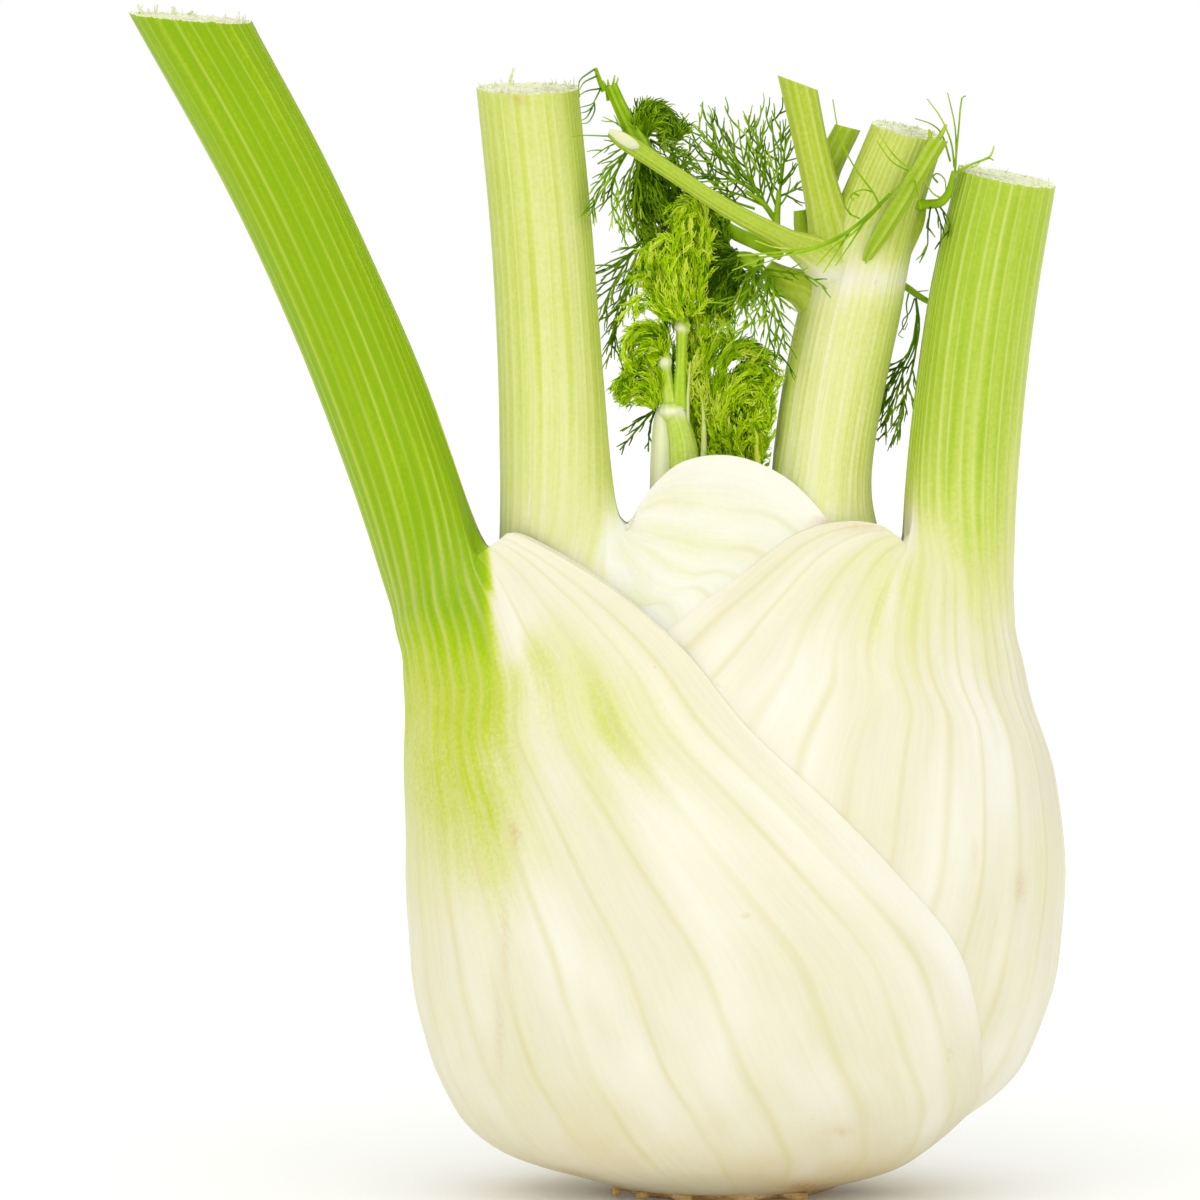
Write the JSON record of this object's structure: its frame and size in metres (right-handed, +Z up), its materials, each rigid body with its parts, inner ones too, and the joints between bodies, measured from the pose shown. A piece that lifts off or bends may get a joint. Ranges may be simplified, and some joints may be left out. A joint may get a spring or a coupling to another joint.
{
  "type": "fennel bulb",
  "caption": "Fresh fennel bulb of overlapping cream sheaths with trimmed green ribbed stalks, feathery fronds at the heart and a flat root base.",
  "frame": {"origin": "middle of the flat cut face under the root base, which the bulb rests on", "axes": "+Z up through the bulb, +X to the right with the leaf ranks left and right, front towards -Y"},
  "size_m": [0.1572, 0.0818, 0.2003],
  "materials": {
    "left_outer_leaf": "smooth, slightly waxy, bright green above fading to cream at the bulb",
    "right_outer_leaf": "smooth, slightly waxy, green above fading to cream at the bulb",
    "inner_leaf": "smooth, slightly waxy, pale cream green",
    "shoot": "smooth, juicy, pale green",
    "root_cork": "dry, rough, corky cut",
    "young_frond": "matt, feathery, bright green",
    "dark_frond": "matt, feathery, dark green"
  },
  "bodies": {
    "root": {"root_base": "root_cork", "leaf_left_outer": "left_outer_leaf", "leaf_right_outer": "right_outer_leaf", "leaf_left_inner": "inner_leaf", "leaf_right_inner": "inner_leaf", "heart_shoot": "shoot", "frond_heart_plume": "young_frond", "frond_heart_curl_upper": "young_frond", "frond_heart_curl_lower": "young_frond", "frond_heart_left": "dark_frond", "frond_heart_spray": "young_frond", "frond_heart_right": "young_frond", "frond_diagonal_stem": "dark_frond", "frond_under_stem": "dark_frond", "frond_open_fan": "dark_frond", "frond_over_node": "dark_frond", "frond_right_tip": "dark_frond", "frond_back_right": "dark_frond"}
  },
  "joints": []
}
